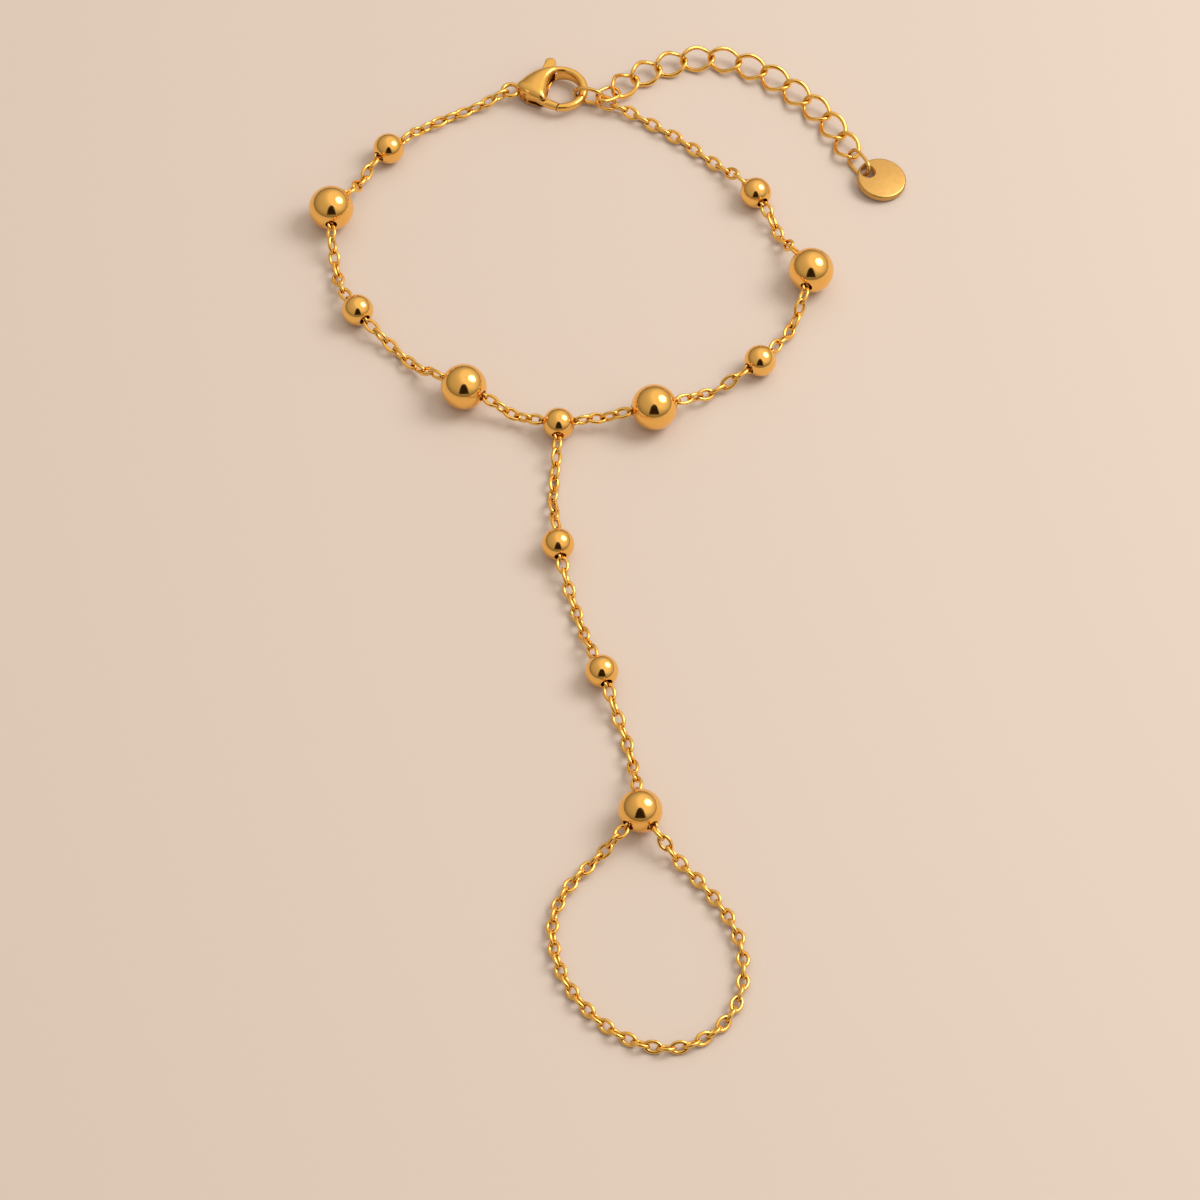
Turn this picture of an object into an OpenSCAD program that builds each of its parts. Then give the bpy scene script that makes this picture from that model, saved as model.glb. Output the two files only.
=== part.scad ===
// Hand chain bracelet laid open on a flat surface.
// A wrist loop of beads and links closes with a sprung clasp and has an extender chain with a
// round tag. A hand chain runs from the junction bead to the finger bead, which carries a loop of
// fine links for the finger. The surface is z = 0, x runs across the hand, y away from the fingers.

/* [Layout] */
// Width of the wrist loop between the centres of its two widest beads
wrist_w = 57.4; // [50:0.2:66]

/* [Beads] */
// Diameter of the small beads
small_d = 3.75; // [3.2:0.05:4.5]
// Diameter of the large beads
large_d = 5.4; // [4.5:0.05:6.5]
// Diameter of the bead at the finger loop
finger_d = 4.9; // [4.2:0.05:6]
// Diameter of the holes drilled in the beads
bore_d = 1.3; // [1.25:0.05:1.5]

/* [Pins] */
// Thickness of the pin through a bead
pin_d = 0.22; // [0.16:0.01:0.24]
// Wire thickness of the eyes at the ends of a pin
eye_wire = 0.28; // [0.26:0.01:0.32]

/* [Chain links] */
// Length of a link of the wrist and hand chains
link_l = 2.45; // [2.2:0.05:2.8]
// Width of a link of the wrist and hand chains
link_w = 1.6; // [1.5:0.05:1.9]
// Wire thickness of the wrist and hand chains
link_wire = 0.36; // [0.28:0.02:0.4]
// Length of a link of the finger loop
fine_l = 2.25; // [2.1:0.05:2.5]
// Width of a link of the finger loop
fine_w = 1.6; // [1.5:0.05:1.8]
// Wire thickness of the finger loop
fine_wire = 0.36; // [0.28:0.02:0.38]
// Lean of the finger loop's links toward the finger side, where the loop runs across the hand
finger_lean = 35; // [0:1:45]

/* [Extender] */
// Length of a curb link
curb_l = 4.4; // [3.8:0.1:5]
// Width of a curb link
curb_w = 3.5; // [3:0.1:4]
// Wire thickness of a curb link
curb_wire = 0.42; // [0.34:0.02:0.5]
// Twist of a curb link from its middle to each end
curb_twist = 45; // [35:1:50]
// Lean of the curb links, the same way
curb_lean = 30; // [0:1:35]

/* [Rings] */
// Length of the ring the clasp hooks into
end_l = 4.1; // [3.8:0.1:4.8]
// Width of the ring the clasp hooks into
end_w = 3; // [2.9:0.1:3.6]
// Wire thickness of the ring the clasp hooks into
end_wire = 0.5; // [0.4:0.02:0.54]
// Length of the ring that ends the wrist loop
chain_ring_l = 2.9; // [2.7:0.1:3.4]
// Width of the ring that ends the wrist loop
chain_ring_w = 2.2; // [2:0.1:2.5]
// Length of the ring that starts the extender
extender_ring_l = 3.5; // [3.2:0.1:4]
// Width of the ring that starts the extender
extender_ring_w = 2.4; // [2.1:0.1:2.6]
// Wire thickness of the two rings beside the end ring
small_ring_wire = 0.42; // [0.34:0.02:0.46]

/* [Tag] */
// Diameter of the round tag
tag_d = 6; // [5.4:0.1:7]
// Thickness of the round tag
tag_t = 0.9; // [0.6:0.05:1]
// Diameter of the hole in the tag
tag_hole_d = 1.7; // [1.6:0.05:1.9]
// Metal left between the hole and the edge of the tag
tag_margin = 0.3; // [0.3:0.05:0.5]
// Tilt of the tag where its ring lifts it
tag_tilt = 7; // [6:0.5:9]
// Length of the ring through the tag
tag_ring_l = 4.2; // [3.9:0.1:4.6]
// Width of the ring through the tag
tag_ring_w = 2.6; // [2.5:0.1:2.9]
// Wire thickness of the ring through the tag
tag_ring_wire = 0.44; // [0.36:0.02:0.46]

/* [Clasp] */
// Radius of the hook's middle line
hook_r = 2.8; // [2.7:0.05:3.1]
// Greatest thickness of the clasp
clasp_t = 2.9; // [2.7:0.05:3.2]
// Radius of the eye's middle line
clasp_eye_r = 0.95; // [0.9:0.05:1.1]
// Wire thickness of the clasp's eye
clasp_eye_wire = 0.54; // [0.44:0.02:0.56]
// Thickness of the lever's plate
lever_t = 1; // [0.8:0.05:1.1]
// Diameter of the rivet the lever turns on
rivet_d = 0.7; // [0.6:0.05:0.75]
// Metal left over each end of the rivet
rivet_skin = 0.2; // [0.15:0.01:0.3]

/* [Clearances] */
// Gap between wires that hang in each other
gap = 0.11; // [0.1:0.01:0.14]
// Gap between the end of a run and the mouth of its bore
mouth_gap = 0.18; // [0.15:0.01:0.25]
// Radial gap between the rivet and the lever, and gap at the lever's faces
lever_fit = 0.05; // [0.03:0.01:0.08]
// Radial gap between the rivet and the body
rivet_fit = 0.03; // [0.02:0.01:0.05]
// Gap between the lever's tip and the hook's tip
tip_gap = 0.12; // [0.1:0.01:0.2]

/* [Hidden] */
// Part to build: one node, or all of them

// Columns of the bead table
NAME = 0;
SIZE = 1;
PLACE = 2;
HOLES = 3;

// Beads: name, diameter, place as shares of wrist_w, and the headings of the holes in degrees
BEADS = [
    ["wrist_1", small_d, [-0.4477, 0.6969], [228, 38]],
    ["wrist_2", large_d, [-0.5627, 0.5209], [272, 50]],
    ["wrist_3", small_d, [-0.5, 0.2596], [302, 125]],
    ["wrist_4", large_d, [-0.277, 0.0488], [329, 150]],
    ["junction", small_d, [-0.0836, -0.0348], [166, 12, 267]],
    ["wrist_5", large_d, [0.1098, -0.0035], [18, 192]],
    ["wrist_6", small_d, [0.3275, 0.1272], [48, 221]],
    ["wrist_7", large_d, [0.4373, 0.3537], [121, 256]],
    ["wrist_8", small_d, [0.3275, 0.5749], [128, 297]],
    ["hand_1", small_d, [-0.0836, -0.3345], [94, 280]],
    ["hand_2", small_d, [0.0035, -0.6394], [112, 288]],
    ["finger", finger_d, [0.0767, -0.9669], [96, 234, 304]],
];

// Chosen points the longer runs lie along, as shares of wrist_w
FRONT = [[0.062, 0.8146], [0.113, 0.7794], [0.1744, 0.7345], [0.2174, 0.6941], [0.2634, 0.6511]];
FINGER = [
    [0.0199, -1.035], [-0.0338, -1.0873], [-0.0722, -1.1411], [-0.0907, -1.2097], [-0.0763, -1.2946],
    [-0.0412, -1.3628], [0.0113, -1.4201], [0.0715, -1.456], [0.1397, -1.4661], [0.2018, -1.4404],
    [0.2453, -1.3924], [0.2675, -1.3227], [0.2633, -1.2429], [0.2406, -1.1841], [0.2045, -1.1277],
    [0.1501, -1.0641], [0.115, -1.024],
];
EXTENDER = [
    [0.0601, 0.896], [0.1097, 0.9274], [0.1659, 0.9532], [0.222, 0.9647], [0.2629, 0.9604],
    [0.3036, 0.9475], [0.359, 0.9174], [0.4095, 0.8747], [0.4553, 0.8237], [0.4987, 0.773],
];

// Places of the clasp and the tag, as shares of wrist_w
CLASP_AT = [-0.0836, 0.8676];
TAG_AT = [0.5941, 0.6263];

// Link sizes: length, width, wire
MAIN = [link_l, link_w, link_wire];
FINE = [fine_l, fine_w, fine_wire];
CURB = [curb_l, curb_w, curb_wire];

// Columns of the run table
LINK = 1;
FROM = 2;
TO = 3;
ROLL = 4;
TURN = 5;
VIA = 6;

// Runs: name, link sizes, where it starts and ends as [bead, hole] or a ring, roll of the first
// link, turn of the roll along the run, and the points it passes
RUNS = [
    ["wrist_chain_1", MAIN, "clasp", [0, 1], 90, 0, [[-0.3588, 0.7784]]],
    ["wrist_chain_2", MAIN, [0, 0], [1, 1], 45, 0, []],
    ["wrist_chain_3", MAIN, [1, 0], [2, 1], 45, -45, [[-0.5563, 0.4228]]],
    ["wrist_chain_4", MAIN, [2, 0], [3, 1], 0, 0, [[-0.4311, 0.1804], [-0.3729, 0.1176]]],
    ["wrist_chain_5", MAIN, [3, 0], [4, 0], 0, 0, []],
    ["wrist_chain_6", MAIN, [4, 1], [5, 1], 90, 0, [[-0.0196, -0.0181], [0.0224, -0.0175]]],
    ["wrist_chain_7", MAIN, [5, 0], [6, 1], 0, 45, [[0.223, 0.0552]]],
    ["wrist_chain_8", MAIN, [6, 0], [7, 1], 45, 0, [[0.4018, 0.24], [0.4228, 0.2983]]],
    ["wrist_chain_9", MAIN, [7, 0], [8, 1], 45, 0, []],
    ["wrist_chain_10", MAIN, "chain_ring", [8, 0], 120, 0, FRONT],
    ["hand_chain_1", MAIN, [4, 2], [9, 0], 45, 0, [[-0.0911, -0.1522], [-0.095, -0.2174]]],
    ["hand_chain_2", MAIN, [9, 1], [10, 0], 20, 25, [[-0.0523, -0.4673]]],
    ["hand_chain_3", MAIN, [10, 1], [11, 0], 30, 0, [[0.0245, -0.7094], [0.0537, -0.8002]]],
    ["finger_chain", FINE, [11, 1], [11, 2], 30, -40, FINGER],
    ["extender_chain", CURB, "extender_ring", "tag_ring", 0, 0, EXTENDER],
];

function along(a) = [cos(a), sin(a)];
function plan(p) = p * wrist_w;
function last(v) = v[len(v) - 1];

// Where the clasp and the rings lie
clasp_o = plan(CLASP_AT);
clasp_z = clasp_t / 2;
// Sizes of the hook: shares of hook_r across it and of clasp_t through it, by angle
HOOK_ACROSS = [[-95, 0.339], [-45, 0.357], [0, 0.41], [45, 0.39], [90, 0.37]];
HOOK_THROUGH = [[-95, 0.328], [-45, 0.362], [0, 0.45], [45, 0.586], [90, 0.72]];
eye_c = clasp_o + [-2.214 * hook_r, 0];
eye_heading = atan2(plan(BEADS[0][PLACE]).y - eye_c.y, plan(BEADS[0][PLACE]).x - eye_c.x);

end_heading = -14;
end_cross = -18;
end_z = 1.6;
end_near = clasp_o + hook_r * along(end_cross)
    - along(end_heading) * (lookup(end_cross, HOOK_ACROSS) * hook_r / 2 + 0.2 + end_wire / 2);
end_c = end_near + along(end_heading) * (end_l - end_wire) / 2;
end_far = end_near + along(end_heading) * (end_l - end_wire);
// The two rings that hang in its far end, one above the other
hang_z = 0.5;
hang = (end_wire + small_ring_wire) / 2 + gap + 0.09;
end_in = (end_w - end_wire) / 2;
hang_at = end_far - along(end_heading) * (end_in - sqrt(end_in * end_in - hang_z * hang_z));

chain_ring_heading = -32;
chain_ring_near = hang_at - along(chain_ring_heading) * hang;
chain_ring_z = end_z - hang_z;
chain_ring_far = chain_ring_near + along(chain_ring_heading) * (chain_ring_l - small_ring_wire);

extender_ring_heading = 35;
extender_ring_near = hang_at - along(extender_ring_heading) * hang;
extender_ring_z = end_z + hang_z;
extender_ring_drop = 10;
extender_ring_roll = 0;
extender_ring_far = extender_ring_near
    + along(extender_ring_heading) * (extender_ring_l - small_ring_wire) * cos(extender_ring_drop);
extender_far_z = extender_ring_z - (extender_ring_l - small_ring_wire) * sin(extender_ring_drop);

// Where the tag lies: its ring runs along tag_heading, its hole is on the side tag_side
tag_c = plan(TAG_AT);
tag_heading = 122;
tag_side = 155;
tag_r = tag_d / 2;
hole_off = tag_r - tag_margin - tag_hole_d / 2;
tag_z = tag_r * sin(tag_tilt) + tag_t / 2 * cos(tag_tilt);
tag_hole = tag_c + along(tag_side) * hole_off * cos(tag_tilt);
tag_ring_roll = 60;
tag_ring_z = (tag_ring_w - tag_ring_wire) / 2 * sin(tag_ring_roll) + tag_ring_wire / 2 + 0.01;
tag_ring_in = (tag_ring_w - tag_ring_wire) / 2;
tag_reach = tag_hole_d / 2 - 0.2 - tag_ring_in
    + sqrt(pow(tag_ring_in - tag_ring_wire / 2 - gap, 2) - pow(tag_t / 2 / sin(tag_ring_roll) + 0.09, 2));
tag_ring_far = tag_hole + along(tag_heading) * tag_reach;
tag_ring_near = tag_ring_far + along(tag_heading) * (tag_ring_l - tag_ring_wire);

function bead_r(b) = BEADS[b][SIZE] / 2;
function bead_c(b) = plan(BEADS[b][PLACE]);
function mouth(b) = sqrt(pow(bead_r(b), 2) - pow(bore_d / 2, 2));
// The beads are hollow: their bores open into a round hollow, each well clear of the next
hollow_r = bore_d / 2 / sin(32.8);
// Spheres are turned so that the start of their surface lies between two bores
function between_holes(b) = (BEADS[b][HOLES][0] + BEADS[b][HOLES][1]) / 2;
// How far the rounded end of a link enters the mouth of a bore
function dip(k) = k[1] / 2 - sqrt(pow(k[1] / 2 + mouth_gap, 2) - pow(bore_d / 2, 2));
// Distance of the end wire of a link from the centre of its bead
function take(b, k) = mouth(b) - dip(k) + k[2] / 2;

// Where a run takes hold: point, height, heading out of the bead or ring
function hold(e, k) =
    e == "clasp" ? [eye_c + along(eye_heading) * (clasp_eye_r - (clasp_eye_wire + k[2]) / 2 - gap),
        clasp_z, eye_heading]
    : e == "chain_ring" ? [chain_ring_far
        - along(chain_ring_heading) * ((small_ring_wire + k[2]) / 2 + gap + 0.06), chain_ring_z,
        chain_ring_heading]
    : e == "extender_ring" ? [extender_ring_far
        - along(extender_ring_heading) * ((small_ring_wire + k[2]) / 2 + gap + 0.24), extender_far_z + 0.14,
        extender_ring_heading]
    : e == "tag_ring" ? [tag_ring_near - along(tag_heading) * ((tag_ring_wire + k[2]) / 2 + gap + 0.24),
        tag_ring_z - 0.15, tag_heading]
    : [bead_c(e[0]) + along(BEADS[e[0]][HOLES][e[1]]) * take(e[0], k), bead_r(e[0]),
        BEADS[e[0]][HOLES][e[1]]];

// Cubic between two points with the tangents u and v
function cubic(p, q, u, v, t) = (2 * pow(t, 3) - 3 * t * t + 1) * p + (pow(t, 3) - 2 * t * t + t) * u
    + (3 * t * t - 2 * pow(t, 3)) * q + (pow(t, 3) - t * t) * v;

// Points along a run in plan, with the same tangent on both sides of each chosen point
function plan_path(r) =
    let (a = hold(r[FROM], r[LINK]), b = hold(r[TO], r[LINK]),
        p = concat([a[0]], [for (v = r[VIA]) plan(v)], [b[0]]), n = len(p) - 1,
        m = [for (i = [0:n]) i == 0 ? along(a[2]) * norm(p[1] - p[0])
            : i == n ? -along(b[2]) * norm(p[n] - p[n - 1]) : (p[i + 1] - p[i - 1]) / 2],
        steps = max(8, round(48 / n)))
    concat([for (i = [0:n - 1]) for (k = [0:steps - 1]) cubic(p[i], p[i + 1], m[i], m[i + 1], k / steps)],
        [p[n]]);

// Length travelled at each point
function travelled(p) = [for (i = 0, s = 0; i < len(p);
    s = i + 1 < len(p) ? s + norm(p[i + 1] - p[i]) : s, i = i + 1) s];

// Height of a run that lies on the surface: links rest on their widest corner
function low(k, roll) = k[2] / 2 + 0.01 + (k == CURB ? (0.37 + 0.64 * abs(sin(roll))) * (k[1] - k[2]) / 2
    : (k[1] - k[2]) / 2 * max(abs(sin(roll)), abs(cos(roll))));
level = 1.1;
fall = 2.1;
function ease(s) = exp(-pow(max(0, s - level) / fall, 2));
function height(s, total, za, zb, base) = base + (za - base) * ease(s) * (1 - pow(s / total, 2))
    + (zb - base) * ease(total - s) * (1 - pow((total - s) / total, 2));

// Direction of a run at one of its points, and the lean of a link that lies there
function bearing(p, i) = let (d = p[min(i + 1, len(p) - 1)] - p[max(i - 1, 0)]) atan2(d.y, d.x);
function lean(k, h) = k == FINE ? atan(tan(finger_lean) * cos(h))
    : k == CURB ? atan(tan(curb_lean) * cos(h)) : 0;

// Points of a run in space
function space_path(r) =
    let (p = plan_path(r), s = travelled(p), total = last(s), a = hold(r[FROM], r[LINK]),
        b = hold(r[TO], r[LINK]))
    [for (i = [0:len(p) - 1]) [p[i].x, p[i].y,
        height(s[i], total, a[1], b[1], low(r[LINK],
            r[ROLL] + r[TURN] * s[i] / total + lean(r[LINK], bearing(p, i))))]];

PATHS = [for (r = RUNS) space_path(r)];
LENGTHS = [for (p = PATHS) travelled(p)];
function at(i, s) = [for (c = [0:2])
    lookup(s, [for (j = [0:len(PATHS[i]) - 1]) [LENGTHS[i][j], PATHS[i][j][c]]])];

// Number of links in a run, and the distance between a link's end wires that fills it exactly
function bite(k) = k[2] + gap;
function count(i) = let (k = RUNS[i][LINK])
    round((last(LENGTHS[i]) - bite(k)) / (k[0] - k[2] - bite(k)));
function reach(i) = (last(LENGTHS[i]) + (count(i) - 1) * bite(RUNS[i][LINK])) / count(i);
function link_lean(i, n) =
    let (k = RUNS[i][LINK], s = n * (reach(i) - bite(k)), d = at(i, s + reach(i)) - at(i, s))
    lean(k, atan2(d.y, d.x));
function roll(i, n) = RUNS[i][ROLL] + (RUNS[i][LINK] == CURB ? 0 : 90 * n)
    + RUNS[i][TURN] * n / max(1, count(i) - 1) + link_lean(i, n);

// Middle of the layout, which becomes x = 0, y = 0
x_low = bead_c(1).x - large_d / 2;
x_high = tag_c.x + tag_r * cos(tag_tilt * cos(tag_side)) + 0.02;
y_low = min([for (p = PATHS[13]) p.y]) - (fine_wire / 2 + (fine_w - fine_wire) / 2 * cos(finger_lean + 12));
y_high = max([for (p = PATHS[14]) p.y]) + curb_w * 0.406;
middle = [(x_low + x_high) / 2, (y_low + y_high) / 2, 0];

// Ring or link with straight sides, lying flat along x: length between end wires, width, wire
module link(c, w, wire) {
    r = (w - wire) / 2;
    // Rounded, so that the straight sides meet the ends exactly
    s = round((c / 2 - r) * 1e4) / 1e4;
    union() {
        for (k = [0, 1]) rotate([0, 0, 180 * k]) {
            translate([s, 0, 0]) rotate([0, 0, -90])
                rotate_extrude(angle = 180, $fn = 48) translate([r, 0]) circle(d = wire, $fn = 24);
            translate([-s, r, 0]) rotate([0, 90, 0]) cylinder(d = wire, h = 2 * s, $fn = 24);
        }
    }
}

// Skin over rings of points; closed joins the last ring to the first
module skin(rings, closed) {
    m = len(rings);
    n = len(rings[0]);
    faces = concat(
        [for (i = [0:(closed ? m - 1 : m - 2)]) for (j = [0:n - 1]) each [
            [i * n + j, ((i + 1) % m) * n + j, ((i + 1) % m) * n + (j + 1) % n],
            [i * n + j, ((i + 1) % m) * n + (j + 1) % n, i * n + (j + 1) % n]]],
        closed ? [] : [[for (j = [0:n - 1]) j], [for (j = [n - 1:-1:0]) (m - 1) * n + j]]);
    polyhedron(points = [for (r = rings) each r], faces = faces, convexity = 6);
}

// Curb link: an oval whose ends are twisted opposite ways
function curb_point(a, b, t) = [a * cos(t), b * sin(t) * cos(curb_twist * cos(t)),
    -b * sin(t) * sin(curb_twist * cos(t))];
module curb(c, w, wire) {
    a = c / 2;
    b = (w - wire) / 2;
    rings = [for (i = [0:15]) let (t = 22.5 * i, p = curb_point(a, b, t),
            d = curb_point(a, b, t + 1) - curb_point(a, b, t - 1), u = d / norm(d),
            n0 = p - (p * u) * u, n1 = n0 / norm(n0), n2 = cross(u, n1))
        [for (j = [0:5]) p + wire / 2 * (cos(60 * j) * n1 + sin(60 * j) * n2)]];
    skin(rings, true);
}

// One link between two points in space
module place(p, q, turn) {
    d = q - p;
    translate((p + q) / 2 - middle)
        rotate([turn, -atan2(d.z, norm([d.x, d.y])), atan2(d.y, d.x)]) children();
}

module run(i) {
    k = RUNS[i][LINK];
    c = reach(i);
    for (n = [0:count(i) - 1]) {
        s = n * (c - bite(k));
        place(at(i, s), at(i, min(s + c, last(LENGTHS[i]))), roll(i, n))
            if (k == CURB) curb(c, k[1], k[2]);
            else link(c, k[1], k[2]);
    }
}

module bead(b) {
    translate([bead_c(b).x, bead_c(b).y, bead_r(b)] - middle)
        difference() {
            rotate([0, 0, between_holes(b)]) sphere(d = BEADS[b][SIZE], $fn = 64);
            rotate([0, 0, between_holes(b)]) sphere(r = hollow_r, $fn = 48);
            for (a = BEADS[b][HOLES]) rotate([0, 90, a])
                translate([0, 0, hollow_r * 0.79]) cylinder(d = bore_d, h = bead_r(b), $fn = 32);
        }
}

// Link sizes and roll of the link at a hole of a bead
function hole_link(b, h) = [for (i = [0:len(RUNS) - 1])
    if (RUNS[i][FROM] == [b, h]) [RUNS[i][LINK], roll(i, 0)]
    else if (RUNS[i][TO] == [b, h]) [RUNS[i][LINK], -roll(i, count(i) - 1)]][0];

// Pin of a bead: a shaft and an eye for each hole, the eye across the link it holds
module pin(b) {
    translate([bead_c(b).x, bead_c(b).y, bead_r(b)] - middle)
        union() {
            rotate([0, 0, between_holes(b)]) sphere(d = pin_d * 2.1, $fn = 24);
            for (h = [0:len(BEADS[b][HOLES]) - 1]) {
                k = hole_link(b, h)[0];
                r = k[2] / 2 + gap + 0.02 + eye_wire / 2;
                c = take(b, k) - 0.02;
                rotate([0, 0, BEADS[b][HOLES][h]]) {
                    rotate([0, 90, 0]) cylinder(d = pin_d, h = c - r, $fn = 24);
                    translate([c, 0, 0]) rotate([hole_link(b, h)[1] + 90, 0, 0])
                        rotate_extrude($fn = 48) translate([r, 0]) circle(d = eye_wire, $fn = 20);
                }
            }
        }
}

// Sections of the clasp's back: outer and inner point as shares of hook_r, thickness of clasp_t
BACK = [
    [[-0.4, 1.15], [-0.27, 0.76], 0.81],
    [[-0.86, 1.07], [-0.47, 0.41], 0.91],
    [[-1.25, 0.9], [-0.54, 0.04], 0.97],
    [[-1.57, 0.66], [-0.6, -0.41], 1],
    [[-1.78, 0.46], [-0.69, -0.82], 0.97],
    [[-1.87, 0.36], [-1.29, -0.62], 0.88],
    [[-1.93, 0.22], [-1.7, -0.33], 0.74],
    [[-1.95, 0.11], [-1.91, -0.13], 0.5],
];
// The hook's tip is cut along the way the lever swings
tip_outer = [-0.196, -1.168];
tip_inner = [-0.018, -0.843];
pivot = [-1.43, -0.32] * hook_r;
slot_t = lever_t + 2 * lever_fit;
rivet_l = clasp_t - 2 * (rivet_skin + 0.1);

function signed_pow(v, e) = sign(v) * pow(abs(v), e);
function section(o, i, t) = [for (j = [0:15]) let (a = 22.5 * j, m = (o + i) / 2, h = (o - i) / 2,
        u = signed_pow(cos(a), 0.75), v = signed_pow(sin(a), 0.75))
    [m.x + h.x * u, m.y + h.y * u, clasp_z - v * t / 2]];

module clasp_form() {
    skin(concat(
        [section(tip_outer * hook_r, tip_inner * hook_r, HOOK_THROUGH[0][1] * clasp_t)],
        [for (a = [-82:13:87]) let (w = lookup(a, HOOK_ACROSS) / 2, t = lookup(a, HOOK_THROUGH))
            section(along(a) * (1 + w) * hook_r, along(a) * (1 - w) * hook_r, t * clasp_t)],
        [for (s = BACK) section(s[0] * hook_r, s[1] * hook_r, s[2] * clasp_t)]), false);
}

module in_clasp() {
    translate([clasp_o.x, clasp_o.y, 0] - middle) children();
}

module clasp_body() {
    in_clasp() difference() {
        union() {
            clasp_form();
            translate([-2.214 * hook_r, 0, clasp_z])
                rotate_extrude($fn = 48) translate([clasp_eye_r, 0]) circle(d = clasp_eye_wire, $fn = 24);
        }
        // Slot for the lever, open at both edges, closed at the eye and at the root of the hook
        translate([0, 0, clasp_z - slot_t / 2]) linear_extrude(slot_t)
            polygon([for (p = [[-1.79, -1.2], [-0.43, -1.2], [-0.43, 0.36], [-0.18, 0.71], [-0.18, 1.6],
                [-1.79, 1.6]]) p * hook_r]);
        // Blind bore for the rivet, reaching into both cheeks
        translate([pivot.x, pivot.y, rivet_skin]) cylinder(d = rivet_d + 2 * rivet_fit,
            h = clasp_t - 2 * rivet_skin, $fn = 32);
    }
}

module clasp_rivet() {
    in_clasp() translate([pivot.x, pivot.y, clasp_z - rivet_l / 2])
        cylinder(d = rivet_d, h = rivet_l, $fn = 32);
}

// Outline of the lever's plate as shares of hook_r, round the pivot, along the tip and to the tab
LEVER = [
    [-1.64, -0.42], [-1.5, -0.56], [-0.68, -0.9], [-0.6, -0.62], [-0.66, -0.3], [-0.62, 0.3],
    [-0.48, 0.66], [-0.26, 0.96], [-0.24, 1.5], [-0.72, 1.5], [-0.9, 1.0], [-1.2, 0.5], [-1.6, -0.1],
];
tab_c = [-0.475, 1.55] * hook_r;
gate_from = [-0.62, -0.76] * hook_r;
gate_to = [0.1, -1.08] * hook_r;
tip_across = (tip_inner - tip_outer) / norm(tip_inner - tip_outer);
tip_normal = [tip_across.y, -tip_across.x];

module clasp_lever() {
    in_clasp() difference() {
        union() {
            translate([0, 0, clasp_z - lever_t / 2]) {
                linear_extrude(lever_t) polygon([for (p = LEVER) p * hook_r]);
                translate([pivot.x, pivot.y, 0]) cylinder(r = 0.26 * hook_r, h = lever_t, $fn = 32);
                translate([tab_c.x, tab_c.y, 0]) cylinder(r = 0.25 * hook_r, h = lever_t, $fn = 32);
            }
            translate([gate_from.x, gate_from.y, clasp_z])
                rotate([0, 90, atan2(gate_to.y - gate_from.y, gate_to.x - gate_from.x)])
                    cylinder(r1 = 0.205 * hook_r, r2 = 0.165 * hook_r, h = norm(gate_to - gate_from),
                        $fn = 32);
        }
        translate([pivot.x, pivot.y, clasp_z - lever_t]) cylinder(d = rivet_d + 2 * lever_fit,
            h = 2 * lever_t, $fn = 32);
        // The tip stops short of the hook, parallel to the hook's cut
        translate([0, 0, clasp_z])
            translate(concat((tip_outer + tip_inner) / 2 * hook_r - tip_normal * tip_gap, 0))
                rotate([0, 0, atan2(tip_normal.y, tip_normal.x)])
                    translate([0, -hook_r, -hook_r]) cube([hook_r, 2 * hook_r, 2 * hook_r]);
    }
}

module end_ring() {
    place(concat(end_near, end_z), concat(end_far, end_z), 90) link(end_l - end_wire, end_w, end_wire);
}

module chain_ring() {
    place(concat(chain_ring_near, chain_ring_z), concat(chain_ring_far, chain_ring_z), 0)
        link(chain_ring_l - small_ring_wire, chain_ring_w, small_ring_wire);
}

module extender_ring() {
    place(concat(extender_ring_near, extender_ring_z), concat(extender_ring_far, extender_far_z),
        extender_ring_roll)
        link(extender_ring_l - small_ring_wire, extender_ring_w, small_ring_wire);
}

module tag_ring() {
    place(concat(tag_ring_near, tag_ring_z), concat(tag_ring_far, tag_ring_z), tag_ring_roll)
        link(tag_ring_l - tag_ring_wire, tag_ring_w, tag_ring_wire);
}

module tag() {
    bevel = tag_t * 0.15;
    translate([tag_c.x, tag_c.y, tag_z] - middle)
        rotate(a = tag_tilt, v = [-sin(tag_side), cos(tag_side), 0] * -1)
            difference() {
                rotate_extrude($fn = 72) polygon([[0, -tag_t / 2], [tag_r - bevel, -tag_t / 2],
                    [tag_r, bevel - tag_t / 2], [tag_r, tag_t / 2 - bevel], [tag_r - bevel, tag_t / 2],
                    [0, tag_t / 2]]);
                translate([cos(tag_side), sin(tag_side), 0] * hole_off)
                    translate([0, 0, -tag_t]) cylinder(d = tag_hole_d, h = 2 * tag_t, $fn = 40);
            }
}

for (b = [0:len(BEADS) - 1]) {
    color("Gold") bead(b);
    color("Goldenrod") pin(b);
}
for (i = [0:len(RUNS) - 1])
    color("Goldenrod") run(i);
color("Gold") clasp_body();
color("Goldenrod") clasp_lever();
color("DarkGoldenrod") clasp_rivet();
color("Gold") end_ring();
color("Gold") chain_ring();
color("Gold") extender_ring();
color("Gold") tag_ring();
color("Gold") tag();
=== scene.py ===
# %% [markdown]
# # A gold hand chain bracelet, laid open on a flat surface
#
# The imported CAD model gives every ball, link, ring and the clasp its size and place. This lesson
# takes those places as fixed and makes the pieces that a viewer sees: smooth oval links, mirror
# bright balls with drilled mouths, the sprung clasp, and the brushed round tag.

# %% Load the frame
from math import atan2, cos, pi, radians, sin, sqrt

import bmesh
import bpy
import numpy as np
from mathutils import Matrix, Vector
from mathutils.bvhtree import BVHTree


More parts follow.
